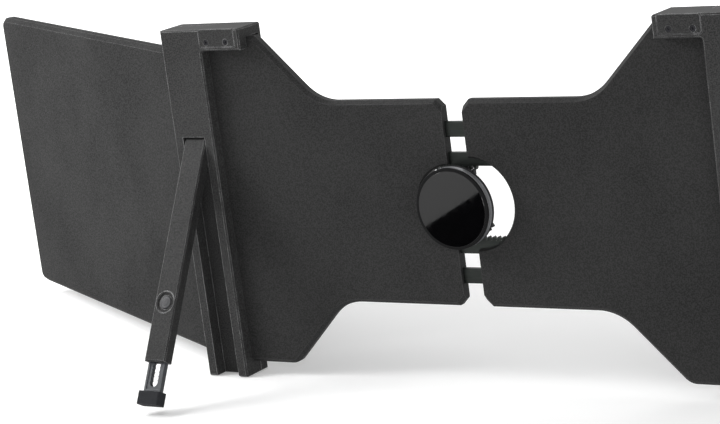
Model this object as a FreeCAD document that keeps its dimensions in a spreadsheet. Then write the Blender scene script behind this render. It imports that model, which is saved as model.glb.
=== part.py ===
import FreeCAD, Part
import math
import os
import re
import Sketcher

# A screen extender: two folding screens on a bracket that hangs over a thin lid.
# Two bracket plates slide apart on four flat bars, kept level by two racks and
# a pinion under a round hub. Each plate carries a column with a hook that drops
# over the lid, a hinged screen, and a leg that swings out of the column's back.
# Frame: origin on the hub's axis in the plane of the pads, +Z up, +Y to the back,
# +X to the user's right. Millimetres. Left pieces are at negative X.
# At rest the right leg stands open and the left one is folded into its column.

os.makedirs("parts", exist_ok=True)
doc = FreeCAD.newDocument("screen_extender")

# Driving dimensions, one named cell each.
DIMENSIONS = {
    # the room for the lid that the brackets hang on
    "lid_width": 316.0,
    "lid_thick": 5.0,
    "lid_rise": 96.5,
    "side_gap": 4.0,
    "grip_gap": 0.3,
    # columns and hooks
    "column_width": 28.4,
    "ledge_thick": 6.0,
    "column_back": 14.5,
    "column_front": 7.5,
    "split_line": 0.5,
    "column_bevel": 0.9,
    "arm_reach": 28.4,
    "arm_root": 1.8,
    "arm_tall": 12.7,
    "lip_drop": 5.0,
    "tongue_half": 78.0,
    "tongue_reach": 5.0,
    "tongue_low": 2.6,
    "tongue_thick": 2.8,
    "seat_gap": 0.2,
    # bracket plates
    "plate_half": 59.2,
    "plate_face": 7.4,
    "pad_thick": 0.8,
    "liner_thick": 1.0,
    "knee_out": 90.0,
    "knee_round": 30.0,
    "shoulder_drop": 98.4,
    "shoulder_round": 10.0,
    "corner_cut": 4.0,
    "plate_bevel": 2.2,
    "carriage_open": 6.7,
    "carriage_out": 15.0,
    "notch_right": 22.0,
    "notch_left": 26.0,
    "notch_bevel": 1.2,
    "lid_pad_inset": 8.0,
    "lid_pad_long": 26.0,
    "lid_pad_edge": 12.0,
    "lid_pad_tall": 10.0,
    "middle_pad_long": 45.0,
    # sliding bars and gear
    "bar_low": 2.0,
    "bar_thick": 3.0,
    "bar_tall": 8.8,
    "bar_reach": 75.0,
    "bar_anchor": 95.0,
    "guide_centre": 42.0,
    "channel_end": 99.0,
    "slide_gap": 0.3,
    "gear_module": 1.0,
    "pinion_teeth": 40,
    "rack_spine": 7.7,
    "gear_waist": 14.8,
    # hub
    "hub_round": 14.8,
    "hub_floor": 1.0,
    "hub_pad_round": 14.0,
    "boss_round": 5.0,
    "cap_round": 23.3,
    "cap_low": 12.4,
    "cap_top": 19.0,
    "cap_edge": 0.8,
    "skirt_round": 12.0,
    "keeper_half": 4.0,
    "keeper_reach": 20.5,
    "face_round": 22.0,
    "face_thick": 0.8,
    "hub_screw_round": 1.5,
    "hub_head_round": 3.0,
    # legs
    "leg_wide": 15.2,
    "leg_thick": 7.5,
    "leg_long": 132.7,
    "leg_end_gap": 1.2,
    "leg_open": 30.0,
    "leg_gap": 0.4,
    "leg_bevel": 0.8,
    "pivot_back": 10.6,
    "pivot_rise": 36.2,
    "pin_round": 1.5,
    "pin_gap": 0.12,
    "pin_half": 11.0,
    "slot_top": 40.3,
    "recess_deep": 8.1,
    "hinge_pocket": 3.0,
    "hinge_pocket_tall": 12.0,
    # feet
    "foot_wide": 12.0,
    "foot_thick": 3.2,
    "foot_low": 2.25,
    "foot_out": 17.3,
    "foot_tucked": 0.3,
    "foot_more": 20.0,
    "foot_hold": 44.7,
    "foot_end_gap": 2.0,
    "foot_slot": 5.4,
    "foot_tooth": 0.45,
    "foot_rim": 1.5,
    "foot_rim_rise": 0.4,
    "foot_pitch": 2.5,
    "block_wide": 15.6,
    "block_tall": 8.0,
    "block_deep": 7.4,
    "block_socket": 5.0,
    "block_round": 1.2,
    # lock buttons
    "lock_place": 97.5,
    "lock_round": 3.85,
    "lock_travel": 0.8,
    "lock_thick": 1.6,
    "lock_spare": 0.4,
    "ring_round": 6.7,
    "ring_wall": 0.5,
    "ring_deep": 0.8,
    "ring_rise": 0.3,
    "latch_round": 1.2,
    "latch_long": 3.5,
    # screens
    "screen_wide": 291.4,
    "screen_tall": 186.4,
    "screen_thick": 7.6,
    "screen_drop": 3.5,
    "screen_fold": 28.95,
    "screen_corner": 7.0,
    "screen_bevel": 2.4,
    "screen_wall": 1.6,
    "screen_skin": 1.5,
    "bezel_thick": 1.0,
    "bezel_side": 4.0,
    "bezel_upper": 7.0,
    "bezel_lower": 10.0,
    "panel_thick": 2.4,
    "panel_lap": 1.2,
    "board_wide": 120.0,
    "board_tall": 26.0,
    "board_thick": 1.2,
    "board_inset": 150.0,
    "board_rise": 14.0,
    "face_recess": 0.3,
    "fold_gap": 0.5,
    "stack_gap": 1.0,
    # screen hinges
    "hinge_round": 2.6,
    "hinge_clear": 0.4,
    "hinge_nest": 0.1,
    "hinge_rise": 66.0,
    "lug_tall": 12.0,
    "knuckle_tall": 8.0,
    "leaf_thick": 1.2,
    "leaf_long": 18.0,
    "leaf_edge": 1.4,
    "hinge_pin_round": 1.2,
    # keys and ports on a screen's lower edge
    "key_long": 9.0,
    "key_thick": 2.4,
    "key_travel": 0.5,
    "key_flush": 0.1,
    "key_round": 0.9,
    "key_deep": 4.0,
    "key_place": 210.0,
    "key_step": 16.0,
    "port_wide": 9.0,
    "port_thick": 3.2,
    "port_deep": 6.5,
    "port_place": 246.0,
    "port_step": 17.0,
    "port_wall": 0.4,
    # screws and small covers
    "cover_thick": 1.4,
    "cover_gap": 0.25,
    "cover_edge": 3.4,
    "cover_round": 2.4,
    "hook_screw_up": 5.0,
    "hook_screw_in": 4.7,
    "hook_screw_step": 14.0,
    "hook_screw_round": 1.0,
    "hook_head_round": 1.7,
    "hook_head_sunk": 0.4,
    "hook_drive_round": 0.9,
    "hook_drive_deep": 0.7,
    "hook_pad_thick": 1.2,
    "plate_screw_round": 1.2,
    "plate_head_round": 2.1,
    "plate_head_thick": 1.2,
    "plate_screw_rise": 52.5,
}

sheet = doc.addObject("Spreadsheet::Sheet", "Sizes")
for row, (word, number) in enumerate(DIMENSIONS.items(), start=1):
    cell = "A%d" % row
    sheet.set(cell, str(number))
    sheet.setAlias(cell, word)
doc.recompute()

# Sizes that several pieces share, worked out from the driving dimensions.
COLUMN_IN = "(lid_width / 2 + side_gap)"
COLUMN_OUT = "(" + COLUMN_IN + " + column_width)"
COLUMN_MID = "(" + COLUMN_IN + " + column_width / 2)"
ARM_END = "(" + COLUMN_IN + " - arm_reach)"
COLUMN_DROP = "(leg_long + foot_tucked + block_tall + leg_end_gap - pivot_rise)"
SHOULDER_RISE = "(lid_rise + grip_gap + hook_pad_thick)"
COLUMN_TOP = "(" + SHOULDER_RISE + " + ledge_thick)"
ARM_BOTTOM = "(" + COLUMN_TOP + " - arm_tall)"
HOOK_SCREW_RISE = "(" + ARM_BOTTOM + " + hook_screw_up)"
LINER_BACK = "(pad_thick + liner_thick)"
BAR_BACK = "(bar_low + bar_thick)"
PITCH_ROUND = "(gear_module * pinion_teeth / 2)"
RACK_TIP = "(" + PITCH_ROUND + " - gear_module)"
RACK_ROOT = "(" + PITCH_ROUND + " + 1.25 * gear_module)"
GEAR_PITCH = "(gear_module * %.6f)" % math.pi
RACK_OUTER = "(" + RACK_ROOT + " + rack_spine)"
FOOT_INSIDE = "(foot_more + foot_hold)"
FOOT_FRONT = "(foot_thick - foot_low)"
LOCK_LOW = "(" + FOOT_FRONT + " + seat_gap + lock_travel + lock_spare)"
RECESS_FLOOR = "(column_back - recess_deep)"
RECESS_HALF = "(leg_wide / 2 + leg_gap)"
DISPLAY_PLANE = "(0 - column_front + face_recess)"
FOLD_PLANE = {
    "right": "(0 - column_front - fold_gap)",
    "left": "(0 - column_front - fold_gap - screen_thick - stack_gap)",
}
LEG_ANGLE = {"right": "leg_open", "left": "0"}
FOOT_OUT = {"right": "foot_out", "left": "foot_tucked"}
PLATE_SCREW_LEVELS = ("plate_screw_rise", "0 - plate_screw_rise")
HOOK_SCREW_STEPS = ("hook_screw_in", "hook_screw_in + hook_screw_step")
SIDES = ("right", "left")
PRESSURE_ANGLE = math.radians(20)
DEDENDUM = 1.25
TOOTH_HALF = math.pi / 4 - 0.05
EDGE_TOLERANCE = 0.02


def bound(text):
    """Turn plain size names into references to the sheet's cells."""
    def refer(match):
        word = match.group()
        return "Sizes." + word if word in DIMENSIONS else word
    return re.sub(r"[A-Za-z_]\w*", refer, text)


def size(word):
    return DIMENSIONS[word]


def mirrored(side):
    """X measures are written for the right side; the left gets them negated."""
    if side == "right":
        return lambda text: "(" + text + ")"
    return lambda text: "(0 - (" + text + "))"


def origin_plane(body, role):
    for feature in body.Origin.OriginFeatures:
        if feature.Role == role:
            return feature
    raise ValueError(role)


def new_body(label):
    body = doc.addObject("PartDesign::Body", label)
    body.Label = label
    return body


def circle(across, up, radius):
    return {"centre": (across, up), "radius": radius}


def rectangle(left, right, low, high):
    return [(left, low), (right, low), (right, high), (left, high)]


def drive_point(sketch, curve, end, across, up):
    """Hold one sketch point at two driven distances from the sketch's origin."""
    for kind, text in (("DistanceX", across), ("DistanceY", up)):
        number = sketch.addConstraint(Sketcher.Constraint(kind, -1, 1, curve, end, 1.0))
        sketch.setExpression("Constraints[%d]" % number, bound(text))


def draw_loop(sketch, loop):
    if isinstance(loop, dict):
        ring = Part.Circle(FreeCAD.Vector(0.5, 0.5, 0), FreeCAD.Vector(0, 0, 1), 1.0)
        curve = sketch.addGeometry(ring, False)
        drive_point(sketch, curve, 3, *loop["centre"])
        number = sketch.addConstraint(Sketcher.Constraint("Radius", curve, 1.0))
        sketch.setExpression("Constraints[%d]" % number, bound(loop["radius"]))
        return
    count = len(loop)
    start = []
    for index in range(count):
        turn = 2 * math.pi * index / count
        start.append(FreeCAD.Vector(math.cos(turn), math.sin(turn), 0))
    lines = []
    for index in range(count):
        segment = Part.LineSegment(start[index], start[(index + 1) % count])
        lines.append(sketch.addGeometry(segment, False))
    for index in range(count):
        follower = lines[(index + 1) % count]
        sketch.addConstraint(Sketcher.Constraint("Coincident", lines[index], 2, follower, 1))
    for line, (across, up) in zip(lines, loop):
        drive_point(sketch, line, 1, across, up)


def sketch_on(body, name, role, loops, offset):
    sketch = body.newObject("Sketcher::SketchObject", name + "_sketch")
    sketch.AttachmentSupport = [(origin_plane(body, role), "")]
    sketch.MapMode = "FlatFace"
    sketch.setExpression("AttachmentOffset.Base.z", bound(offset))
    for loop in loops:
        draw_loop(sketch, loop)
    return sketch


def prism(body, name, role, loops, low, high, cut=False):
    """Fill or cut the space between low and high along the plane's own axis.

    The XZ plane faces -Y, so its sketch sits at the high end and runs down.
    """
    offset = "0 - (" + high + ")" if role == "XZ_Plane" else low
    sketch = sketch_on(body, name, role, loops, offset)
    kind = "PartDesign::Pocket" if cut else "PartDesign::Pad"
    feature = body.newObject(kind, name)
    feature.Profile = sketch
    if cut:
        feature.Reversed = True
    feature.setExpression("Length", bound("(" + high + ") - (" + low + ")"))
    doc.recompute()
    return feature


def cut_prism(body, name, role, loops, low, high):
    """Cut, and make sure that something was cut."""
    before = body.Shape.Volume
    feature = prism(body, name, role, loops, low, high, cut=True)
    if body.Shape.Volume > before - 1e-3:
        raise RuntimeError(name + " cuts nothing")
    return feature


def along_x(side, low, high):
    """The low and high ends of a stretch along X on either side."""
    if side == "right":
        return low, high
    return "0 - (" + high + ")", "0 - (" + low + ")"


def edges_of(feature, wanted):
    names = []
    for number, edge in enumerate(feature.Shape.Edges, start=1):
        if wanted(edge):
            names.append("Edge%d" % number)
    if not names:
        raise RuntimeError("no edge found on " + feature.Name)
    return names


def runs_along(edge, axis):
    if len(edge.Vertexes) != 2 or not isinstance(edge.Curve, Part.Line):
        return False
    step = edge.Vertexes[1].Point - edge.Vertexes[0].Point
    step.normalize()
    return abs(abs(step.dot(FreeCAD.Vector(*axis))) - 1) < 1e-4


def at(value, *targets):
    return any(abs(value - target) < EDGE_TOLERANCE for target in targets)


def dress(body, kind, name, wanted, text):
    """Round or bevel the edges of the body's tip that a test picks out."""
    base = body.Tip
    feature = body.newObject("PartDesign::" + kind, name)
    feature.Base = (base, edges_of(base, wanted))
    feature.setExpression("Radius" if kind == "Fillet" else "Size", bound(text))
    doc.recompute()
    return feature


def place(body, across, back, up, axis=None, angle=None):
    for letter, text in (("x", across), ("y", back), ("z", up)):
        body.setExpression("Placement.Base." + letter, bound(text))
    if axis:
        for letter, part in zip("xyz", axis):
            body.setExpression("Placement.Rotation.Axis." + letter, str(part))
        body.setExpression("Placement.Rotation.Angle", bound(angle))
    doc.recompute()


def repeat(body, name, feature, role, gap, count):
    """Copy a feature along a line; returns the pattern as the body's tip."""
    pattern = body.newObject("PartDesign::LinearPattern", name)
    pattern.Originals = [feature]
    axis = next(f for f in body.Origin.OriginFeatures if f.Role == role)
    pattern.Direction = (axis, [""])
    pattern.Mode = "Spacing"
    pattern.setExpression("Offset", bound(gap))
    pattern.setExpression("Occurrences", bound(count))
    body.Tip = pattern
    doc.recompute()
    return pattern


def turned_rod(label, role, centre, radius, low, high):
    """A plain round rod with its own body."""
    body = new_body(label)
    prism(body, label + "_rod", role, [circle(*centre, radius)], low, high)
    return body


def plate_outline(side, inset):
    """The bracket plate: a flat middle, two sloped shoulders, a straight outer edge."""
    x = mirrored(side)
    inner = "carriage_open + " + inset
    top = "plate_half - " + inset
    rise = SHOULDER_RISE + " - " + inset
    drop = "shoulder_drop - " + inset
    knee = "knee_out + " + inset
    return [
        (x(inner), top + " - corner_cut"),
        (x(inner + " + corner_cut"), top),
        (x(knee), top),
        (x(knee + " + " + SHOULDER_RISE + " - plate_half"), rise),
        (x(COLUMN_IN), rise),
        (x(COLUMN_IN), "0 - (" + drop + ")"),
        (x(knee + " + shoulder_drop - plate_half"), "0 - (" + drop + ")"),
        (x(knee), "0 - (" + top + ")"),
        (x(inner + " + corner_cut"), "0 - (" + top + ")"),
        (x(inner), "0 - (" + top + " - corner_cut)"),
    ]


def round_plate_corners(body, prefix, inset):
    """Round the two inside knees widely and the two shoulder corners tightly."""
    knee = size("knee_out") + inset
    half = size("plate_half") - inset

    def is_knee(edge):
        spot = edge.Vertexes[0].Point
        return runs_along(edge, (0, 1, 0)) and at(abs(spot.x), knee) and at(abs(spot.z), half)

    def is_shoulder(edge):
        spot = edge.Vertexes[0].Point
        low_corner = knee + size("shoulder_drop") - size("plate_half")
        return (runs_along(edge, (0, 1, 0)) and at(abs(spot.x), low_corner)
                and at(spot.z, inset - size("shoulder_drop")))

    dress(body, "Fillet", prefix + "_knees", is_knee, "knee_round")
    dress(body, "Fillet", prefix + "_shoulder", is_shoulder, "shoulder_round")


def make_plate_shell(side):
    x = mirrored(side)
    label = side + "_plate_shell"
    body = new_body(label)
    prism(body, label + "_slab", "XZ_Plane", [plate_outline(side, "0")], LINER_BACK, "plate_face")
    round_plate_corners(body, label, 0)
    cut_prism(body, label + "_notch", "XZ_Plane",
              [circle(x("carriage_open"), "0", "notch_" + side)], "0", "plate_face + 1")

    face = size("plate_face")
    column_in = size("lid_width") / 2 + size("side_gap")

    def on_face(edge):
        return at(edge.BoundBox.YMin, face) and at(edge.BoundBox.YMax, face)

    def on_notch(edge):
        return (on_face(edge) and isinstance(edge.Curve, Part.Circle)
                and at(edge.Curve.Radius, size("notch_" + side)))

    def on_outline(edge):
        across = abs(edge.Vertexes[0].Point.x)
        upright = runs_along(edge, (0, 0, 1)) and at(across, column_in, size("carriage_open"))
        return on_face(edge) and not upright and not on_notch(edge)

    dress(body, "Chamfer", label + "_bevel", on_outline, "plate_bevel")
    dress(body, "Chamfer", label + "_notch_bevel", on_notch, "notch_bevel")
    channels = []
    for sign in ("", "0 - "):
        low = sign + "(guide_centre - bar_tall / 2 - slide_gap)"
        high = sign + "(guide_centre + bar_tall / 2 + slide_gap)"
        channels.append(rectangle(x("carriage_open - 1"), x("channel_end"), low, high))
        low = sign + "(" + RACK_TIP + " - slide_gap)"
        high = sign + "(" + RACK_OUTER + " + slide_gap)"
        channels.append(rectangle(x("carriage_open - 1"), x("channel_end"), low, high))
    cut_prism(body, label + "_channels", "XZ_Plane", channels, "0", BAR_BACK + " + slide_gap")
    prism(body, label + "_tongue", "XZ_Plane",
          [rectangle(x(COLUMN_IN + " - 1"), x(COLUMN_IN + " + tongue_reach"),
                     "0 - tongue_half", "tongue_half")], "tongue_low", "tongue_low + tongue_thick")
    holes = []
    for level in PLATE_SCREW_LEVELS:
        holes.append(circle(x(COLUMN_IN + " + tongue_reach / 2"), level,
                            "plate_screw_round + seat_gap"))
    cut_prism(body, label + "_holes", "XZ_Plane", holes, "0", "plate_face")
    return body


def make_plate_liner(side):
    x = mirrored(side)
    label = side + "_plate_liner"
    body = new_body(label)
    prism(body, label + "_sheet", "XZ_Plane", [plate_outline(side, "seat_gap")],
          "pad_thick", LINER_BACK)
    round_plate_corners(body, label, size("seat_gap"))
    cut_prism(body, label + "_notch", "XZ_Plane",
              [circle(x("carriage_open"), "0", "notch_" + side)], "0", LINER_BACK + " + 1")
    return body


def make_lid_pads(side):
    """Three soft strips that rest on the lid."""
    x = mirrored(side)
    body = new_body(side + "_lid_pads")
    outer = COLUMN_IN + " - lid_pad_inset"
    inner = outer + " - lid_pad_long"
    upper = SHOULDER_RISE + " - lid_pad_edge"
    lower = "lid_pad_edge - shoulder_drop"
    strips = (
        ("upper", inner, outer, upper + " - lid_pad_tall", upper),
        ("lower", inner, outer, lower, lower + " + lid_pad_tall"),
        ("middle", "knee_out - middle_pad_long / 2", "knee_out + middle_pad_long / 2",
         "0 - lid_pad_tall / 2", "lid_pad_tall / 2"),
    )
    for name, inner, outer, low, high in strips:
        prism(body, side + "_pad_" + name, "XZ_Plane",
              [rectangle(x(inner), x(outer), low, high)], "0", "pad_thick")
    return body


def make_rack_bar(side):
    """A flat bar with a toothed stretch; the right one runs below the pinion."""
    x = mirrored(side)
    up = "-1" if side == "right" else "1"
    label = side + "_rack_bar"
    body = new_body(label)
    prism(body, label + "_spine", "XZ_Plane",
          [rectangle(x("0 - bar_reach"), x("bar_anchor"),
                     up + " * " + RACK_ROOT, up + " * " + RACK_OUTER)], "bar_low", BAR_BACK)
    slope = math.tan(PRESSURE_ANGLE)
    tip_half = "gear_module * %.5f" % (TOOTH_HALF - slope)
    root_half = "gear_module * %.5f" % (TOOTH_HALF + DEDENDUM * slope)
    beyond = "floor(carriage_out / " + GEAR_PITCH + " + 2.3)"
    before = "floor(carriage_open / " + GEAR_PITCH + " + 1)"
    first = "(0 - " + GEAR_PITCH + " * " + beyond + ")"
    foot = up + " * (" + RACK_ROOT + " + gear_module * 0.3)"
    tooth = [
        (x(first + " - " + root_half), foot),
        (x(first + " - " + tip_half), up + " * " + RACK_TIP),
        (x(first + " + " + tip_half), up + " * " + RACK_TIP),
        (x(first + " + " + root_half), foot),
    ]
    feature = prism(body, label + "_tooth", "XZ_Plane", [tooth], "bar_low", BAR_BACK)
    pattern = repeat(body, label + "_teeth", feature, "X_Axis", GEAR_PITCH,
                     beyond + " + " + before + " + 1")
    if side == "left":
        pattern.Reversed = True
        doc.recompute()
    return body


def make_guide_bar(side):
    x = mirrored(side)
    up = "" if side == "right" else "0 - "
    label = side + "_guide_bar"
    body = new_body(label)
    prism(body, label + "_bar", "XZ_Plane",
          [rectangle(x("0 - bar_reach"), x("bar_anchor"),
                     up + "(guide_centre - bar_tall / 2)", up + "(guide_centre + bar_tall / 2)")],
          "bar_low", BAR_BACK)
    dress(body, "Chamfer", label + "_edges",
          lambda edge: runs_along(edge, (1, 0, 0)) and edge.Vertexes[0].Point.y > 4, "0.4")
    return body


def keeper(sign):
    """A tab of the hub that reaches over or under a rack's teeth."""
    return rectangle("0 - keeper_half", "keeper_half", "0", sign + "keeper_reach")


def make_hub():
    """A floor and a cap screwed together, with a gear between them and a glossy face."""
    gear_roof = BAR_BACK + " + slide_gap"
    floor_top = "pad_thick + hub_floor"
    base = new_body("hub_base")
    prism(base, "hub_floor", "XZ_Plane", [circle("0", "0", "hub_round")], "pad_thick", floor_top)
    prism(base, "hub_boss", "XZ_Plane", [circle("0", "0", "boss_round")], floor_top, gear_roof)
    for name, sign in (("upper", ""), ("lower", "0 - ")):
        prism(base, "hub_keeper_" + name, "XZ_Plane", [keeper(sign)], "pad_thick", floor_top)
    cut_prism(base, "hub_screw_hole", "XZ_Plane",
              [circle("0", "0", "hub_screw_round + seat_gap / 2")], "0", "cap_low")
    cut_prism(base, "hub_screw_seat", "XZ_Plane",
              [circle("0", "0", "hub_head_round + seat_gap / 2")], "0", floor_top)

    cap = new_body("hub_cap")
    prism(cap, "cap_disc", "XZ_Plane", [circle("0", "0", "cap_round")], "cap_low", "cap_top")
    prism(cap, "cap_skirt", "XZ_Plane", [circle("0", "0", "skirt_round")], gear_roof, "cap_low")
    for name, sign in (("upper", ""), ("lower", "0 - ")):
        prism(cap, "cap_keeper_" + name, "XZ_Plane", [keeper(sign)], gear_roof, "cap_low")
    cut_prism(cap, "cap_recess", "XZ_Plane", [circle("0", "0", "face_round")],
              "cap_top - face_thick", "cap_top + 1")
    cut_prism(cap, "cap_thread", "XZ_Plane", [circle("0", "0", "hub_screw_round")],
              BAR_BACK, "cap_low")
    top = size("cap_top")
    dress(cap, "Chamfer", "cap_rim",
          lambda edge: (at(edge.BoundBox.YMin, top) and isinstance(edge.Curve, Part.Circle)
                        and at(edge.Curve.Radius, size("cap_round"))), "cap_edge")

    turned_rod("hub_face", "XZ_Plane", ("0", "0"), "face_round", "cap_top - face_thick", "cap_top")
    turned_rod("hub_pad", "XZ_Plane", ("0", "0"), "hub_pad_round", "0", "pad_thick")
    screw = turned_rod("hub_screw", "XZ_Plane", ("0", "0"), "hub_screw_round",
                       floor_top + " - 0.1", "cap_low - 0.5")
    prism(screw, "hub_screw_head", "XZ_Plane", [circle("0", "0", "hub_head_round")],
          "pad_thick", floor_top)


def turned_point(along, across, turn):
    """A point given along and across a ray that stands at an angle from +X."""
    return ("(" + along + ") * %.8f - (" % math.cos(turn) + across + ") * %.8f" % math.sin(turn),
            "(" + along + ") * %.8f + (" % math.sin(turn) + across + ") * %.8f" % math.cos(turn))


def make_pinion():
    """A spur gear with a toothed arc for each rack and a slim waist between them.

    Each arc is counted in teeth from the rack's middle: toward the plates' closed
    end there are three, toward the open end six.
    """
    closed_teeth = 3
    open_teeth = 6
    body = new_body("pinion")
    prism(body, "pinion_waist", "XZ_Plane", [circle("0", "0", "gear_waist")], "bar_low", BAR_BACK)
    root = "(" + PITCH_ROUND + " - 1.25 * gear_module)"
    step = 2 * math.pi / size("pinion_teeth")
    for name, middle in (("upper", math.pi / 2), ("lower", -math.pi / 2)):
        arc = [("0", "0")]
        for count in range(-closed_teeth, open_teeth + 1):
            arc.append(turned_point(root, "0", middle - count * step))
        prism(body, "pinion_arc_" + name, "XZ_Plane", [arc], "bar_low", BAR_BACK)
    tip = "(" + PITCH_ROUND + " + gear_module * 0.95)"
    widths = (("(" + root + " - 0.4)", TOOTH_HALF * 1.55), (PITCH_ROUND, TOOTH_HALF),
              (tip, TOOTH_HALF * 0.45))
    teeth = []
    for middle in (math.pi / 2, -math.pi / 2):
        turn = middle + (closed_teeth - 0.5) * step
        tooth = []
        for sign, order in ((1, widths), (-1, tuple(reversed(widths)))):
            for radius, half in order:
                tooth.append(turned_point(radius, "gear_module * %.5f" % (sign * half), turn))
        teeth.append(tooth)
    feature = prism(body, "pinion_tooth", "XZ_Plane", teeth, "bar_low", BAR_BACK)
    count = closed_teeth + open_teeth
    ring = body.newObject("PartDesign::PolarPattern", "pinion_teeth_ring")
    ring.Originals = [feature]
    ring.Axis = (origin_plane(body, "Y_Axis"), [""])
    ring.setExpression("Angle", bound("360 * %d / pinion_teeth" % (count - 1)))
    ring.Occurrences = count
    body.Tip = ring
    doc.recompute()
    cut_prism(body, "pinion_bore", "XZ_Plane", [circle("0", "0", "boss_round + slide_gap / 2")],
              "0", BAR_BACK + " + 1")


def make_column_shell(side):
    x = mirrored(side)
    label = side + "_column_shell"
    body = new_body(label)
    prism(body, label + "_post", "XY_Plane",
          [rectangle(x(COLUMN_IN), x(COLUMN_OUT), "0 - split_line", "column_back")],
          "0 - " + COLUMN_DROP, COLUMN_TOP)
    lip_back = "0 - lid_thick - grip_gap"
    hook = [
        ("column_back", COLUMN_TOP),
        ("column_back", ARM_BOTTOM),
        ("plate_face", ARM_BOTTOM),
        ("plate_face", SHOULDER_RISE),
        (lip_back, SHOULDER_RISE),
        (lip_back, SHOULDER_RISE + " - lip_drop"),
        ("0 - column_front", SHOULDER_RISE + " - lip_drop"),
        ("0 - column_front", COLUMN_TOP),
    ]
    low, high = along_x(side, ARM_END, COLUMN_IN)
    prism(body, label + "_hook", "YZ_Plane", [hook], low, high)

    back = size("column_back")
    column_in = size("lid_width") / 2 + size("side_gap")
    arm_end = column_in - size("arm_reach")
    column_top = body.Shape.BoundBox.ZMax
    arm_low = column_top - size("arm_tall")

    def arm_corner(edge):
        spot = edge.Vertexes[0].Point
        return runs_along(edge, (0, 1, 0)) and at(abs(spot.x), column_in) and at(spot.z, arm_low)

    dress(body, "Fillet", label + "_arm_root", arm_corner, "arm_root")

    def long_back_edge(edge):
        box = edge.BoundBox
        vertical = runs_along(edge, (0, 0, 1)) and at(box.YMax, back) and box.ZLength > 2
        level = runs_along(edge, (1, 0, 0)) and at(box.YMax, back)
        end = at(abs(box.XMin), arm_end) and at(abs(box.XMax), arm_end) and runs_along(edge, (0, 1, 0))
        return vertical or level or (end and box.ZMax > column_top - 1)

    dress(body, "Chamfer", label + "_bevel", long_back_edge, "column_bevel")
    cut_prism(body, label + "_recess", "XZ_Plane",
              [rectangle(x(COLUMN_MID + " - " + RECESS_HALF), x(COLUMN_MID + " + " + RECESS_HALF),
                         "0 - " + COLUMN_DROP + " - 1", "slot_top")], RECESS_FLOOR, "column_back + 1")
    cut_prism(body, label + "_hinge_pocket", "XZ_Plane",
              [rectangle(x(COLUMN_MID + " - " + RECESS_HALF), x(COLUMN_MID + " + " + RECESS_HALF),
                         "slot_top - hinge_pocket_tall", "slot_top")],
              RECESS_FLOOR + " - hinge_pocket", RECESS_FLOOR + " + 0.5")
    low, high = along_x(side, COLUMN_MID + " - pin_half", COLUMN_MID + " + pin_half")
    cut_prism(body, label + "_pin_hole", "YZ_Plane",
              [circle("pivot_back", "pivot_rise", "pin_round + pin_gap / 2")], low, high)
    cut_prism(body, label + "_groove", "XZ_Plane",
              [rectangle(x(COLUMN_IN + " - 1"), x(COLUMN_IN + " + tongue_reach + seat_gap"),
                         "0 - tongue_half - seat_gap", "tongue_half + seat_gap")],
              "tongue_low - seat_gap / 2", "tongue_low + tongue_thick + seat_gap / 2")
    cut_prism(body, label + "_cover_seat", "XZ_Plane",
              [rectangle(x(ARM_END + " + cover_edge - cover_gap"), x(COLUMN_IN + " + cover_gap"),
                         ARM_BOTTOM + " + cover_round - cover_gap", COLUMN_TOP + " + 1")],
              "column_back - cover_thick", "column_back + 1")
    holes = []
    seats = []
    for level in PLATE_SCREW_LEVELS:
        across = x(COLUMN_IN + " + tongue_reach / 2")
        holes.append(circle(across, level, "plate_screw_round + seat_gap / 4"))
        seats.append(circle(across, level, "plate_head_round + seat_gap / 2"))
    cut_prism(body, label + "_screw_holes", "XZ_Plane", holes, "0 - 1", "tongue_low + tongue_thick + 3")
    cut_prism(body, label + "_head_seats", "XZ_Plane", seats, "0 - 1",
              "plate_head_thick - split_line")
    taps = []
    for step in HOOK_SCREW_STEPS:
        taps.append(circle(x(COLUMN_IN + " - (" + step + ")"), HOOK_SCREW_RISE, "hook_screw_round"))
    cut_prism(body, label + "_hook_taps", "XZ_Plane", taps, "plate_face + 1.5",
              "column_back - cover_thick + 0.5")
    return body


def hinge_axis(side):
    """The hinge's own Y, half way between the open and the folded display planes."""
    return "((" + DISPLAY_PLANE + " + " + FOLD_PLANE[side] + ") / 2)"


def hinge_across():
    return "(" + COLUMN_OUT + " + hinge_round + hinge_clear - hinge_nest)"


def hinge_levels():
    """Middle heights of the two hinges."""
    return ("hinge_rise - screen_drop", "0 - hinge_rise - screen_drop")


def make_column_cover(side):
    """The column's front half, with the fixed lugs of the screen's two hinges."""
    x = mirrored(side)
    label = side + "_column_cover"
    body = new_body(label)
    prism(body, label + "_front", "XY_Plane",
          [rectangle(x(COLUMN_IN), x(COLUMN_OUT), "0 - column_front", "0 - split_line")],
          "0 - " + COLUMN_DROP, COLUMN_TOP)
    front = 0 - size("column_front")
    dress(body, "Fillet", label + "_edges",
          lambda edge: runs_along(edge, (0, 0, 1)) and at(edge.BoundBox.YMin, front), "1.4")
    across = x(hinge_across())
    axis = hinge_axis(side)
    for number, level in enumerate(hinge_levels()):
        low = level + " - lug_tall / 2"
        high = level + " + lug_tall / 2"
        web = rectangle(x(COLUMN_OUT + " - hinge_round"), across, axis, axis + " + hinge_round")
        prism(body, "%s_web_%d" % (label, number), "XY_Plane", [web], low, high)
        root = rectangle(x(COLUMN_OUT + " - hinge_round"), x(COLUMN_OUT), axis, "0 - split_line - 1")
        prism(body, "%s_root_%d" % (label, number), "XY_Plane", [root], low, high)
        prism(body, "%s_lug_%d" % (label, number), "XY_Plane",
              [circle(across, axis, "hinge_round")], low, high)
        cut_prism(body, "%s_bore_%d" % (label, number), "XY_Plane",
                  [circle(across, axis, "hinge_pin_round")], low, high)
    return body


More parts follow.
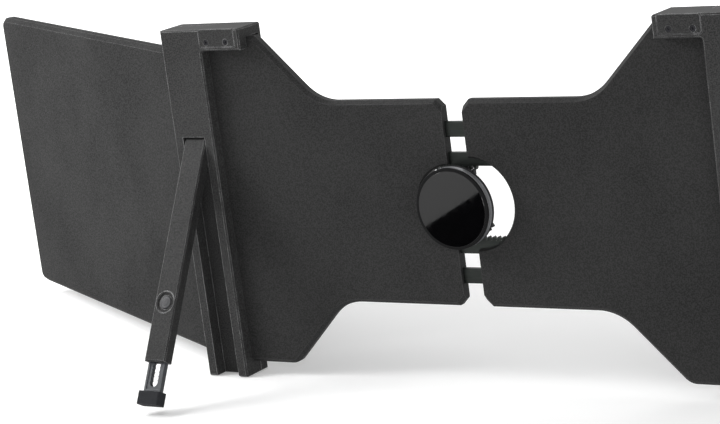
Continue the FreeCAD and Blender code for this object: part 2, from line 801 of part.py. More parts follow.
def make_hook_trim(side):
    x = mirrored(side)
    cover = new_body(side + "_hook_cover")
    prism(cover, side + "_cover_sheet", "XZ_Plane",
          [rectangle(x(ARM_END + " + cover_edge"), x(COLUMN_IN), ARM_BOTTOM + " + cover_round",
                     COLUMN_TOP)], "column_back - cover_thick", "column_back")
    dress(cover, "Fillet", side + "_cover_corners",
          lambda edge: runs_along(edge, (0, 1, 0)), "1.6")
    heads = []
    for step in HOOK_SCREW_STEPS:
        heads.append(circle(x(COLUMN_IN + " - (" + step + ")"), HOOK_SCREW_RISE, "hook_head_round + 0.15"))
    cut_prism(cover, side + "_cover_holes", "XZ_Plane", heads, "column_back - cover_thick - 1",
              "column_back + 1")
    screws = new_body(side + "_hook_screws")
    for number, step in enumerate(HOOK_SCREW_STEPS):
        across = x(COLUMN_IN + " - (" + step + ")")
        prism(screws, "%s_hook_head_%d" % (side, number), "XZ_Plane",
              [circle(across, HOOK_SCREW_RISE, "hook_head_round")],
              "column_back - cover_thick", "column_back - hook_head_sunk")
        prism(screws, "%s_hook_shank_%d" % (side, number), "XZ_Plane",
              [circle(across, HOOK_SCREW_RISE, "hook_screw_round")],
              "plate_face + 2", "column_back - cover_thick")
        hexagon = []
        for corner in range(6):
            turn = math.radians(60 * corner)
            hexagon.append((across + " + hook_drive_round * %.5f" % math.cos(turn),
                            HOOK_SCREW_RISE + " + hook_drive_round * %.5f" % math.sin(turn)))
        cut_prism(screws, "%s_hook_drive_%d" % (side, number), "XZ_Plane", [hexagon],
                  "column_back - hook_head_sunk - hook_drive_deep", "column_back")
    pad = new_body(side + "_hook_pad")
    low, high = along_x(side, ARM_END + " + 2", COLUMN_IN + " - 2")
    prism(pad, side + "_pad_strip", "YZ_Plane",
          [rectangle("0 - lid_thick", "0", SHOULDER_RISE + " - hook_pad_thick", SHOULDER_RISE)],
          low, high)


def make_plate_screws(side):
    x = mirrored(side)
    body = new_body(side + "_plate_screws")
    for number, level in enumerate(PLATE_SCREW_LEVELS):
        across = x(COLUMN_IN + " + tongue_reach / 2")
        prism(body, "%s_head_%d" % (side, number), "XZ_Plane",
              [circle(across, level, "plate_head_round")],
              "0 - split_line", "plate_head_thick - split_line")
        prism(body, "%s_shank_%d" % (side, number), "XZ_Plane",
              [circle(across, level, "plate_screw_round")],
              "plate_head_thick - split_line", "tongue_low + tongue_thick + 2.5")
    return body


def place_on_leg(body, side):
    """Leg pieces are drawn hanging straight down from the pivot, then swung to rest."""
    x = mirrored(side)
    place(body, x(COLUMN_MID), "pivot_back", "pivot_rise", (1, 0, 0), LEG_ANGLE[side])


def make_leg(side):
    x = mirrored(side)
    label = side + "_leg_pin"
    low, high = along_x(side, COLUMN_MID + " - pin_half", COLUMN_MID + " + pin_half")
    turned_rod(label, "YZ_Plane", ("pivot_back", "pivot_rise"), "pin_round", low, high)

    label = side + "_leg_shell"
    body = new_body(label)
    half = "leg_thick / 2"
    silhouette = [
        ("0 - " + half, "0"),
        (half, "0"),
        (half, "leg_bevel - leg_long"),
        (half + " - leg_bevel", "0 - leg_long"),
        ("0 - " + half, "0 - leg_long"),
    ]
    prism(body, label + "_blade", "YZ_Plane", [silhouette], "0 - leg_wide / 2", "leg_wide / 2")
    prism(body, label + "_barrel", "YZ_Plane", [circle("0", "0", half)],
          "0 - leg_wide / 2", "leg_wide / 2")
    outer = size("leg_wide") / 2
    face = size("leg_thick") / 2
    dress(body, "Chamfer", label + "_bevel",
          lambda edge: runs_along(edge, (0, 0, 1)) and at(abs(edge.BoundBox.XMin), outer)
          and at(edge.BoundBox.YMin, face), "leg_bevel")
    cut_prism(body, label + "_bore", "XY_Plane",
              [rectangle("0 - foot_wide / 2 - seat_gap", "foot_wide / 2 + seat_gap",
                         "0 - foot_low - seat_gap", FOOT_FRONT + " + seat_gap")],
              "0 - leg_long - 1", "foot_out + " + FOOT_INSIDE + " + foot_end_gap - leg_long")
    cut_prism(body, label + "_lock_hole", "XZ_Plane",
              [circle("0", "0 - lock_place", "lock_round + slide_gap")], "0", "leg_thick")
    cut_prism(body, label + "_ring_groove", "XZ_Plane",
              [circle("0", "0 - lock_place", "ring_round - ring_wall")],
              half + " - ring_deep", "leg_thick")
    prism(body, label + "_ring", "XZ_Plane",
          [circle("0", "0 - lock_place", "ring_round"),
           circle("0", "0 - lock_place", "ring_round - ring_wall")],
          half + " - 0.2", half + " + ring_rise")
    cut_prism(body, label + "_pin_bore", "YZ_Plane", [circle("0", "0", "pin_round + pin_gap")],
              "0 - leg_wide", "leg_wide")
    place_on_leg(body, side)

    make_foot(side)
    make_lock_button(side)


def make_foot(side):
    label = side + "_foot_bar"
    body = new_body(label)
    block_top = "(0 - leg_long - " + FOOT_OUT[side] + ")"
    bottom = "(" + block_top + " - block_socket)"
    top = "(" + block_top + " + foot_out + " + FOOT_INSIDE + ")"
    floor = "(" + FOOT_FRONT + " - foot_rim_rise)"
    prism(body, label + "_strip", "XZ_Plane",
          [rectangle("0 - foot_wide / 2", "foot_wide / 2", bottom, top)], "0 - foot_low", FOOT_FRONT)
    cut_prism(body, label + "_panel", "XZ_Plane",
              [rectangle("foot_rim - foot_wide / 2", "foot_wide / 2 - foot_rim",
                         block_top + " + foot_rim", top + " - foot_rim")],
              floor, FOOT_FRONT + " + 1")
    slot_low = "(" + block_top + " + foot_rim * 2 + foot_slot / 2)"
    slot_high = "(" + top + " - foot_rim * 2 - foot_slot / 2)"
    cut_prism(body, label + "_slot", "XZ_Plane",
              [rectangle("0 - foot_slot / 2", "foot_slot / 2", slot_low, slot_high)],
              "0 - foot_low - 1", FOOT_FRONT + " + 1")
    for name, level in (("low", slot_low), ("high", slot_high)):
        cut_prism(body, label + "_slot_" + name, "XZ_Plane",
                  [circle("0", level, "foot_slot / 2")], "0 - foot_low - 1", FOOT_FRONT + " + 1")
    for name, sign in (("a", ""), ("b", "0 - ")):
        tooth = [
            (sign + "(foot_slot / 2 + foot_tooth)", slot_low + " + foot_pitch * 0.88"),
            (sign + "(foot_slot / 2 - foot_tooth)", slot_low + " + foot_pitch * 0.44"),
            (sign + "(foot_slot / 2 + foot_tooth)", slot_low),
        ]
        feature = prism(body, label + "_tooth_" + name, "XZ_Plane", [tooth],
                        "0 - foot_low", floor)
        repeat(body, label + "_teeth_" + name, feature, "Z_Axis", "foot_pitch",
               "floor((" + slot_high + " - " + slot_low + ") / foot_pitch)")
    place_on_leg(body, side)

    label = side + "_foot_block"
    body = new_body(label)
    depth_low = "0 - leg_thick / 2"
    prism(body, label + "_block", "XY_Plane",
          [rectangle("0 - block_wide / 2", "block_wide / 2", depth_low, depth_low + " + block_deep")],
          block_top + " - block_tall", block_top)
    dress(body, "Fillet", label + "_edges", lambda edge: runs_along(edge, (0, 0, 1)), "block_round")
    cut_prism(body, label + "_socket", "XY_Plane",
              [rectangle("0 - foot_wide / 2", "foot_wide / 2", "0 - foot_low", FOOT_FRONT)],
              bottom, block_top + " + 1")
    place_on_leg(body, side)


def make_lock_button(side):
    label = side + "_lock_button"
    body = new_body(label)
    centre = ("0", "0 - lock_place")
    prism(body, label + "_head", "XZ_Plane", [circle(*centre, "lock_round")],
          LOCK_LOW, LOCK_LOW + " + lock_thick")
    prism(body, label + "_latch", "XZ_Plane", [circle(*centre, "latch_round")],
          LOCK_LOW + " - latch_long", LOCK_LOW + " + 0.1")
    face = body.Shape.BoundBox.YMax
    dress(body, "Chamfer", label + "_rim",
          lambda edge: at(edge.BoundBox.YMin, face) and isinstance(edge.Curve, Part.Circle), "0.4")
    place_on_leg(body, side)


def place_on_hinge(body, side):
    """Screen pieces are drawn flat from the hinge axis outwards, then folded forward."""
    x = mirrored(side)
    angle = "0 - screen_fold" if side == "right" else "screen_fold"
    place(body, x(hinge_across()), hinge_axis(side), "0", (0, 0, 1), angle)


class ScreenFrame:
    """Shared edges of a screen in its own flat frame: y runs to the back."""

    def __init__(self, side):
        self.x = mirrored(side)
        offset = "((" + DISPLAY_PLANE + " - " + FOLD_PLANE[side] + ") / 2)"
        self.face = offset
        self.bezel_back = "(" + offset + " + bezel_thick)"
        self.back = "(" + offset + " + screen_thick)"
        self.inner = "(hinge_round + hinge_clear)"
        self.outer = "(" + self.inner + " + screen_wide)"
        self.low = "(0 - screen_tall / 2 - screen_drop)"
        self.high = "(screen_tall / 2 - screen_drop)"

    def loop(self, inset_side, inset_low, inset_high):
        aside = "(" + inset_side + ")"
        return rectangle(self.x(self.inner + " + " + aside), self.x(self.outer + " - " + aside),
                         self.low + " + (" + inset_low + ")", self.high + " - (" + inset_high + ")")


def leaf_slot(frame, level, gap):
    """The space in a screen's inner edge that a hinge leaf passes through."""
    half = "(lug_tall / 2 + knuckle_tall + hinge_clear)"
    return rectangle(frame.x(frame.inner + " - 1"), frame.x(frame.inner + " + screen_wall + 0.5"),
                     level + " - " + half + " - " + gap, level + " + " + half + " + " + gap)


def make_screen_shell(side):
    frame = ScreenFrame(side)
    label = side + "_screen_back"
    body = new_body(label)
    prism(body, label + "_tray", "XZ_Plane", [frame.loop("0", "0", "0")], frame.bezel_back, frame.back)
    dress(body, "Fillet", label + "_corners", lambda edge: runs_along(edge, (0, 1, 0)), "screen_corner")
    far = body.Shape.BoundBox.YMax
    dress(body, "Chamfer", label + "_bevel",
          lambda edge: at(edge.BoundBox.YMin, far) and at(edge.BoundBox.YMax, far), "screen_bevel")
    cut_prism(body, label + "_hollow", "XZ_Plane",
              [frame.loop("screen_wall", "screen_wall", "screen_wall")],
              frame.bezel_back + " - 1", frame.back + " - screen_skin - screen_bevel / 2")
    cut_prism(body, label + "_deep", "XZ_Plane",
              [frame.loop("screen_wall + screen_bevel", "screen_wall + screen_bevel",
                          "screen_wall + screen_bevel")],
              frame.bezel_back, frame.back + " - screen_skin")
    leaf_low = "(" + frame.back + " - screen_skin - screen_bevel / 2 - leaf_thick)"
    slots = [leaf_slot(frame, level, "seat_gap") for level in hinge_levels()]
    cut_prism(body, label + "_leaf_slots", "XZ_Plane", slots, leaf_low + " - seat_gap / 2",
              leaf_low + " + leaf_thick + seat_gap / 2")
    mouths = []
    for number in range(3):
        across = "port_place + %d * port_step" % number
        mouths.append(rectangle(frame.x(across + " - port_wide / 2"), frame.x(across + " + port_wide / 2"),
                                frame.low + " - 1", frame.low + " + screen_wall + 0.5"))
    for number in range(2):
        across = "key_place + %d * key_step" % number
        mouths.append(rectangle(frame.x(across + " - key_long / 2 - seat_gap"),
                                frame.x(across + " + key_long / 2 + seat_gap"),
                                frame.low + " - 1", frame.low + " + screen_wall + 0.5"))
    cut_prism(body, label + "_mouths", "XZ_Plane", mouths, frame.bezel_back + " - 1",
              frame.bezel_back + " + port_thick")
    place_on_hinge(body, side)

    label = side + "_screen_bezel"
    body = new_body(label)
    prism(body, label + "_sheet", "XZ_Plane", [frame.loop("0", "0", "0")], frame.face, frame.bezel_back)
    dress(body, "Fillet", label + "_corners", lambda edge: runs_along(edge, (0, 1, 0)), "screen_corner")
    cut_prism(body, label + "_window", "XZ_Plane",
              [frame.loop("bezel_side", "bezel_lower", "bezel_upper")],
              frame.face + " - 1", frame.bezel_back + " + 1")
    place_on_hinge(body, side)

    label = side + "_display_panel"
    body = new_body(label)
    prism(body, label + "_sheet", "XZ_Plane",
          [frame.loop("bezel_side - panel_lap", "bezel_lower - panel_lap", "bezel_upper - panel_lap")],
          frame.bezel_back, frame.bezel_back + " + panel_thick")
    place_on_hinge(body, side)

    label = side + "_driver_board"
    body = new_body(label)
    board_low = frame.back + " - screen_skin - board_thick"
    prism(body, label + "_board", "XZ_Plane",
          [rectangle(frame.x("board_inset"), frame.x("board_inset + board_wide"),
                     frame.low + " + board_rise", frame.low + " + board_rise + board_tall")],
          board_low, frame.back + " - screen_skin")
    place_on_hinge(body, side)


def make_ports_and_keys(side):
    frame = ScreenFrame(side)
    label = side + "_screen_ports"
    body = new_body(label)
    low = frame.bezel_back
    for number in range(3):
        across = "port_place + %d * port_step" % number
        outside = rectangle(frame.x(across + " - port_wide / 2"), frame.x(across + " + port_wide / 2"),
                            low, low + " + port_thick")
        inside = rectangle(frame.x(across + " - port_wide / 2 + port_wall"),
                           frame.x(across + " + port_wide / 2 - port_wall"),
                           low + " + port_wall", low + " + port_thick - port_wall")
        prism(body, "%s_shell_%d" % (label, number), "XY_Plane", [outside],
              frame.low + " + 0.2", frame.low + " + 0.2 + port_deep")
        cut_prism(body, "%s_mouth_%d" % (label, number), "XY_Plane", [inside],
                  frame.low, frame.low + " + port_deep - 0.6")
        tongue = rectangle(frame.x(across + " - port_wide / 4"), frame.x(across + " + port_wide / 4"),
                           low + " + port_thick / 2 - 0.35", low + " + port_thick / 2 + 0.35")
        prism(body, "%s_tongue_%d" % (label, number), "XY_Plane", [tongue],
              frame.low + " + 1", frame.low + " + port_deep")
    place_on_hinge(body, side)
    for number, name in enumerate(("power_key", "menu_key")):
        label = side + "_" + name
        body = new_body(label)
        across = "key_place + %d * key_step" % number
        middle = frame.bezel_back + " + port_thick / 2"
        prism(body, label + "_cap", "XY_Plane",
              [rectangle(frame.x(across + " - key_long / 2"), frame.x(across + " + key_long / 2"),
                         middle + " - key_thick / 2", middle + " + key_thick / 2")],
              frame.low + " - key_travel + key_flush",
              frame.low + " - key_travel + key_flush + key_deep")
        dress(body, "Fillet", label + "_ends", lambda edge: runs_along(edge, (0, 0, 1)), "key_round")
        place_on_hinge(body, side)


def make_hinge(side):
    frame = ScreenFrame(side)
    leaves = new_body(side + "_hinge_leaves")
    leaf_low = "(" + frame.back + " - screen_skin - screen_bevel / 2 - leaf_thick)"
    for number, level in enumerate(hinge_levels()):
        for name, sign in (("upper", ""), ("lower", "0 - ")):
            near = "(" + level + ") + " + sign + "(lug_tall / 2 + hinge_clear)"
            far = "(" + level + ") + " + sign + "(lug_tall / 2 + hinge_clear + knuckle_tall)"
            low, high = (near, far) if name == "upper" else (far, near)
            prefix = "%s_knuckle_%s_%d" % (side, name, number)
            prism(leaves, prefix, "XY_Plane", [circle("0", "0", "hinge_round")], low, high)
            web = rectangle(frame.x("hinge_round - leaf_thick"), frame.x("hinge_round"),
                            "0", leaf_low + " + leaf_thick")
            prism(leaves, prefix + "_web", "XY_Plane", [web], low, high)
            leaf = rectangle(frame.x("hinge_round - leaf_thick"),
                             frame.x("hinge_round + leaf_long"),
                             leaf_low, leaf_low + " + leaf_thick")
            prism(leaves, prefix + "_leaf", "XY_Plane", [leaf], low, high)
        bridge = rectangle(frame.x(frame.inner + " + screen_wall + 1"),
                           frame.x("hinge_round + leaf_long"), leaf_low, leaf_low + " + leaf_thick")
        prism(leaves, "%s_bridge_%d" % (side, number), "XY_Plane", [bridge],
              level + " - lug_tall / 2 - 1", level + " + lug_tall / 2 + 1")
        cut_prism(leaves, "%s_leaf_bore_%d" % (side, number), "XY_Plane",
                  [circle("0", "0", "hinge_pin_round + pin_gap")],
                  level + " - lug_tall / 2 - knuckle_tall - 1",
                  level + " + lug_tall / 2 + knuckle_tall + 1")
    place_on_hinge(leaves, side)
    pins = new_body(side + "_hinge_pins")
    for number, level in enumerate(hinge_levels()):
        prism(pins, "%s_pin_%d" % (side, number), "XY_Plane", [circle("0", "0", "hinge_pin_round")],
              level + " - lug_tall / 2 - knuckle_tall", level + " + lug_tall / 2 + knuckle_tall")
    place_on_hinge(pins, side)


make_hub()
make_pinion()
for side in SIDES:
    make_plate_shell(side)
    make_plate_liner(side)
    make_lid_pads(side)
    make_rack_bar(side)
    make_guide_bar(side)
    make_column_shell(side)
    make_column_cover(side)
    make_hook_trim(side)
    make_plate_screws(side)
    make_leg(side)
    make_screen_shell(side)
    make_ports_and_keys(side)
    make_hinge(side)

doc.recompute()
pieces = [thing for thing in doc.Objects if thing.TypeId == "PartDesign::Body"]
for thing in doc.Objects:
    for state in thing.State:
        if state in ("Invalid", "Error"):
            raise RuntimeError(thing.Name + " is " + state)
for piece in pieces:
    if piece.Shape.isNull() or not piece.Shape.isValid():
        raise RuntimeError(piece.Label + " has no valid shape")
for piece in pieces:
    piece.Shape.exportStep("parts/" + piece.Label + ".step")
    print(piece.Label, len(piece.Shape.Solids), round(piece.Shape.Volume, 1))
print(len(pieces), "pieces")
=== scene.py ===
import math
import bpy
from mathutils import Euler, Matrix, Vector


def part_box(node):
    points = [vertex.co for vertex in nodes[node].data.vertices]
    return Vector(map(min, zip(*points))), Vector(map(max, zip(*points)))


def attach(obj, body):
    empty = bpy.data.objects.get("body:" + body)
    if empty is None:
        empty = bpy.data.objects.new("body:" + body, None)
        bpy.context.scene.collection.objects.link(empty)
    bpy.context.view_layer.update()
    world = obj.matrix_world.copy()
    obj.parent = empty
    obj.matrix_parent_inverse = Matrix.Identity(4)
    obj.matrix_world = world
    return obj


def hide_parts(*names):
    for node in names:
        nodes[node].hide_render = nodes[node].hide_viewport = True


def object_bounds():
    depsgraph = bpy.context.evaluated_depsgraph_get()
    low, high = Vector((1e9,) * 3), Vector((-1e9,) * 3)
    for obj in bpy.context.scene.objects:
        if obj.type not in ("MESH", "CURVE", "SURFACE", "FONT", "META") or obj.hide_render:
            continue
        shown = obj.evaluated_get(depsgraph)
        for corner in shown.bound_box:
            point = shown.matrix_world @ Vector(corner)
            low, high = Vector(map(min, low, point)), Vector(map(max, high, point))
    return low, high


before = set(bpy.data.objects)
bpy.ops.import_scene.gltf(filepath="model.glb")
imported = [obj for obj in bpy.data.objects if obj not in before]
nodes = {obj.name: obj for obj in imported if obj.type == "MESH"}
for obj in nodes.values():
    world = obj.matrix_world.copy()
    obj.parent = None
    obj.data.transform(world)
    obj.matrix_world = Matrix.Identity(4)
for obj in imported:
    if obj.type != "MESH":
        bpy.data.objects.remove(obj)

cad_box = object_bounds()
MM = 0.001
SIDES = ("right", "left")


# Bracket plates: two flat mouldings in black ABS with a fine sanded texture, hollow
# in front, with a thin liner sheet pressed into each and soft strips stuck on it.
# Their edges are eased by the mould, and the slopes carry a narrow bevel.
def math_node(tree, kind, first, second=None, third=None):
    node = tree.nodes.new("ShaderNodeMath")
    node.operation = kind
    for place, value in enumerate((first, second, third)):
        if value is None:
            continue
        if isinstance(value, (int, float)):
            node.inputs[place].default_value = value
        else:
            tree.links.new(value, node.inputs[place])
    return node.outputs[0]


def ramp_node(tree, value, low, high, low_out=0.0, high_out=1.0):
    """A value eased from one range into another."""
    node = tree.nodes.new("ShaderNodeMapRange")
    node.interpolation_type = "SMOOTHSTEP"
    tree.links.new(value, node.inputs["Value"])
    for name, number in (("From Min", low), ("From Max", high), ("To Min", low_out), ("To Max", high_out)):
        node.inputs[name].default_value = number
    return node.outputs["Result"]


def noise_node(tree, where, scale, detail=2.0, roughness=0.5):
    node = tree.nodes.new("ShaderNodeTexNoise")
    tree.links.new(where, node.inputs["Vector"])
    if isinstance(scale, (int, float)):
        node.inputs["Scale"].default_value = scale
    else:
        tree.links.new(scale, node.inputs["Scale"])
    node.inputs["Detail"].default_value = detail
    node.inputs["Roughness"].default_value = roughness
    return node.outputs["Fac"]


def object_place(tree):
    return tree.nodes.new("ShaderNodeTexCoord").outputs["Object"]


def new_group(name, inputs, outputs):
    """A shader node group, with its named number inputs and their usual values."""
    group = bpy.data.node_groups.new(name, "ShaderNodeTree")
    for word, usual in inputs:
        made = group.interface.new_socket(name=word, in_out="INPUT", socket_type="NodeSocketFloat")
        made.default_value = usual
    for word in outputs:
        group.interface.new_socket(name=word, in_out="OUTPUT", socket_type="NodeSocketFloat")
    return group, group.nodes.new("NodeGroupInput"), group.nodes.new("NodeGroupOutput")


# The sanded texture that a spark-eroded mould leaves: pits a fraction of a
# millimetre wide over slow patches where the resin flowed.
flow_scale = 14.0
pit_share = 0.75
flow_share = 0.25
middle_shade = 0.5
grain_group, inlet, outlet = new_group(
    "sanded mould texture",
    (("Pit Size mm", 0.5), ("Roughness", 0.55), ("Roughness Spread", 0.12)),
    ("Shade", "Roughness", "Height"))
pits_per_metre = math_node(grain_group, "DIVIDE", 1 / MM, inlet.outputs["Pit Size mm"])
where = object_place(grain_group)
pits = noise_node(grain_group, where, pits_per_metre, detail=2.0, roughness=0.5)
patches = noise_node(grain_group, where, flow_scale, detail=3.0, roughness=0.55)
speckle = ramp_node(grain_group, pits, 0.36, 0.64, high_out=pit_share)
cloud = ramp_node(grain_group, patches, 0.35, 0.65, high_out=flow_share)
shade = math_node(grain_group, "ADD", speckle, cloud)
off_middle = math_node(grain_group, "SUBTRACT", shade, middle_shade)
spread = math_node(grain_group, "MULTIPLY", off_middle, inlet.outputs["Roughness Spread"])
rough = math_node(grain_group, "ADD", inlet.outputs["Roughness"], spread)
grain_group.links.new(shade, outlet.inputs["Shade"])
grain_group.links.new(rough, outlet.inputs["Roughness"])
grain_group.links.new(pits, outlet.inputs["Height"])

# Handling polishes the texture off the outer edges, unevenly, and the same mask carries a painted highlight
# along the edges. An edge shows where the eased normal leaves the flat one.
flat_facing = 0.995
edge_facing = 0.85
rub_scale = 160.0
least_rub = 0.25
wear_and_highlight_group, inlet, outlet = new_group("edge wear and painted highlight", (("Width mm", 0.6), ("Amount", 0.5)), ("Mask",))
eased = wear_and_highlight_group.nodes.new("ShaderNodeBevel")
eased.samples = 4
wear_width = math_node(wear_and_highlight_group, "MULTIPLY", inlet.outputs["Width mm"], MM)
wear_and_highlight_group.links.new(wear_width, eased.inputs["Radius"])
facing = wear_and_highlight_group.nodes.new("ShaderNodeVectorMath")
facing.operation = "DOT_PRODUCT"
wear_and_highlight_group.links.new(eased.outputs["Normal"], facing.inputs[0])
wear_and_highlight_group.links.new(wear_and_highlight_group.nodes.new("ShaderNodeNewGeometry").outputs["Normal"], facing.inputs[1])
near_edge = ramp_node(wear_and_highlight_group, facing.outputs["Value"], flat_facing, edge_facing)
rubbing = noise_node(wear_and_highlight_group, object_place(wear_and_highlight_group), rub_scale, detail=3.0, roughness=0.6)
broken = ramp_node(wear_and_highlight_group, rubbing, 0.35, 0.65, low_out=least_rub)
wear_and_highlight = math_node(wear_and_highlight_group, "MULTIPLY", near_edge, broken)
wear_and_highlight = math_node(wear_and_highlight_group, "MULTIPLY", wear_and_highlight, inlet.outputs["Amount"])
wear_and_highlight_group.links.new(wear_and_highlight, outlet.inputs["Mask"])


def linear(value):
    """One 0-255 screen value as the light value that Blender's colours are written in."""
    share = value / 255
    return share / 12.92 if share <= 0.04045 else ((share + 0.055) / 1.055) ** 2.4


def screen_colour(red, green, blue):
    return (linear(red), linear(green), linear(blue), 1.0)


def place_group(tree, group, **values):
    node = tree.nodes.new("ShaderNodeGroup")
    node.node_tree = group
    for word, value in values.items():
        node.inputs[word.replace("_", " ")].default_value = value
    return node


def colour_mix(tree, mask, first, second):
    """Two colours mixed by a mask; the mix node's colour sockets have numbers and no names of their own."""
    first_socket, second_socket, colour_socket = 6, 7, 2
    node = tree.nodes.new("ShaderNodeMix")
    node.data_type = "RGBA"
    tree.links.new(mask, node.inputs["Factor"])
    for place, value in ((first_socket, first), (second_socket, second)):
        if isinstance(value, tuple):
            node.inputs[place].default_value = value
        else:
            tree.links.new(value, node.inputs[place])
    return node.outputs[colour_socket]


def bump(tree, shader, height, strength, depth_mm):
    node = tree.nodes.new("ShaderNodeBump")
    node.inputs["Strength"].default_value = strength
    node.inputs["Distance"].default_value = depth_mm * MM
    tree.links.new(height, node.inputs["Height"])
    tree.links.new(node.outputs["Normal"], shader.inputs["Normal"])


def new_material(name):
    material = bpy.data.materials.new(name)
    material.use_nodes = True
    return material, material.node_tree, material.node_tree.nodes["Principled BSDF"]


def moulded_plastic(name, dark, light, wear_and_highlight, pit_mm, roughness, depth_mm=0.05, wear_and_highlight_amount=0.5, specular=0.12):
    """Sanded plastic between two screen colours, with a third on its edges that is part rubbed wear and
    part painted highlight.
    """
    edge_mm = 0.6
    edge_sleek = 0.28
    coat_roughness = 0.3
    material, tree, shader = new_material(name)
    grain = place_group(tree, grain_group, Pit_Size_mm=pit_mm, Roughness=roughness)
    rub_and_highlight_mask = place_group(tree, wear_and_highlight_group, Width_mm=edge_mm, Amount=wear_and_highlight_amount)
    plain = colour_mix(tree, grain.outputs["Shade"], screen_colour(*dark), screen_colour(*light))
    # painted highlight: the edge colour lightens the eased edges as a glint would, on top of the rubbed
    # wear
    rubbed_and_highlit = colour_mix(tree, rub_and_highlight_mask.outputs["Mask"], plain, screen_colour(*wear_and_highlight))
    tree.links.new(rubbed_and_highlit, shader.inputs["Base Color"])
    sleek = math_node(tree, "MULTIPLY", rub_and_highlight_mask.outputs["Mask"], edge_sleek)
    tree.links.new(math_node(tree, "SUBTRACT", grain.outputs["Roughness"], sleek),
                   shader.inputs["Roughness"])
    shader.inputs["Specular IOR Level"].default_value = specular
    tree.links.new(rub_and_highlight_mask.outputs["Mask"], shader.inputs["Coat Weight"])
    shader.inputs["Coat Roughness"].default_value = coat_roughness
    bump(tree, shader, grain.outputs["Height"], 1.0, depth_mm)
    return material


def wear_material(thing, material):
    thing.data.materials.clear()
    thing.data.materials.append(material)


def pick_only(thing):
    bpy.ops.object.select_all(action="DESELECT")
    thing.select_set(True)
    bpy.context.view_layer.objects.active = thing


def finish_mesh(thing, bevel_mm, segments):
    """Ease the edges with a small round, and shade the flats flat."""
    sharp_turn = math.radians(25)
    smooth_turn = math.radians(40)
    flat_weight = 80
    pick_only(thing)
    if bevel_mm:
        ease = thing.modifiers.new("eased edges", "BEVEL")
        ease.width = bevel_mm * MM
        ease.segments = segments
        ease.limit_method = "ANGLE"
        ease.angle_limit = sharp_turn
        ease.miter_outer = "MITER_ARC"
        ease.harden_normals = False
        bpy.ops.object.modifier_apply(modifier=ease.name)
    bpy.ops.object.shade_smooth_by_angle(angle=smooth_turn)
    level = thing.modifiers.new("flat faces", "WEIGHTED_NORMAL")
    level.keep_sharp = True
    level.weight = flat_weight
    bpy.ops.object.modifier_apply(modifier=level.name)


def dressed_copy(node_name, bevel_mm, segments, body):
    """The moulded part itself, with its triangles joined up and its edges eased."""
    weld_mm = 0.001
    flat_turn = math.radians(0.5)
    thing = bpy.data.objects.new(node_name + "_moulded", nodes[node_name].data.copy())
    bpy.context.scene.collection.objects.link(thing)
    pick_only(thing)
    bpy.ops.object.mode_set(mode="EDIT")
    bpy.ops.mesh.select_all(action="SELECT")
    bpy.ops.mesh.customdata_custom_splitnormals_clear()
    bpy.ops.mesh.remove_doubles(threshold=weld_mm * MM)
    bpy.ops.mesh.dissolve_limited(angle_limit=flat_turn)
    bpy.ops.object.mode_set(mode="OBJECT")
    finish_mesh(thing, bevel_mm, segments)
    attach(thing, body)
    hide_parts(node_name)
    return thing


plate_black = moulded_plastic("plate plastic", dark=(32, 32, 32), light=(54, 54, 54), wear_and_highlight=(96, 96, 97),
                              pit_mm=0.8, roughness=0.62)
felt_black = moulded_plastic("soft strip", dark=(24, 24, 25), light=(38, 38, 40), wear_and_highlight=(50, 50, 52),
                             pit_mm=0.35, roughness=0.95, depth_mm=0.15)
plate_ease = 0.35
liner_ease = 0.1
strip_ease = 0.2
for side in SIDES:
    carriage = side + "_carriage"
    for word, ease_mm in (("_plate_shell", plate_ease), ("_plate_liner", liner_ease)):
        plate = dressed_copy(side + word, ease_mm, 2, carriage)
        wear_material(plate, plate_black)
    strips = dressed_copy(side + "_lid_pads", strip_ease, 2, carriage)
    wear_material(strips, felt_black)


# Sliding bars: four flat steel bars, blacked and brushed along their length. The two
# racks have their teeth pressed into one edge and run past the pinion under the hub.
def brushed_metal(name, dark, light, stretch, roughness, metallic=0.9):
    """Metal with fine lines; the stretch is how many lines cross a metre each way."""
    blotch_scale = 60.0
    blotch_share = 0.3
    edge_mm = 0.4
    edge_rub_and_highlight = 0.6
    rub_and_highlight_gain = 1.8
    sleeker = 0.08
    duller = 0.1
    line_depth_mm = 0.01
    material, tree, shader = new_material(name)
    turn = tree.nodes.new("ShaderNodeMapping")
    turn.inputs["Scale"].default_value = stretch
    tree.links.new(object_place(tree), turn.inputs["Vector"])
    lines = noise_node(tree, turn.outputs["Vector"], 1.0, detail=4.0, roughness=0.65)
    blotches = noise_node(tree, object_place(tree), blotch_scale)
    line_part = math_node(tree, "MULTIPLY", lines, 1 - blotch_share)
    tone = ramp_node(tree, math_node(tree, "MULTIPLY_ADD", blotches, blotch_share, line_part), 0.35, 0.65)
    rub_and_highlight_mask = place_group(tree, wear_and_highlight_group, Width_mm=edge_mm, Amount=edge_rub_and_highlight)
    plain = colour_mix(tree, tone, screen_colour(*dark), screen_colour(*light))
    # painted highlight: the edges are lightened well past the metal's own tone, partly rubbed bare steel
    # and partly a painted highlight
    rubbed_bare_and_highlight = screen_colour(*(min(255, value * rub_and_highlight_gain) for value in light))
    tree.links.new(colour_mix(tree, rub_and_highlight_mask.outputs["Mask"], plain, rubbed_bare_and_highlight), shader.inputs["Base Color"])
    tree.links.new(ramp_node(tree, lines, 0.3, 0.7, roughness - sleeker, roughness + duller),
                   shader.inputs["Roughness"])
    shader.inputs["Metallic"].default_value = metallic
    bump(tree, shader, lines, 0.6, line_depth_mm)
    return material


bar_black = brushed_metal("blacked bar steel", dark=(40, 43, 41), light=(56, 59, 57),
                          stretch=(60.0, 4000.0, 4000.0), roughness=0.42)
bar_ease = 0.15
for side in SIDES:
    for word in ("_rack_bar", "_guide_bar"):
        bar = dressed_copy(side + word, bar_ease, 1, side + "_carriage")
        wear_material(bar, bar_black)


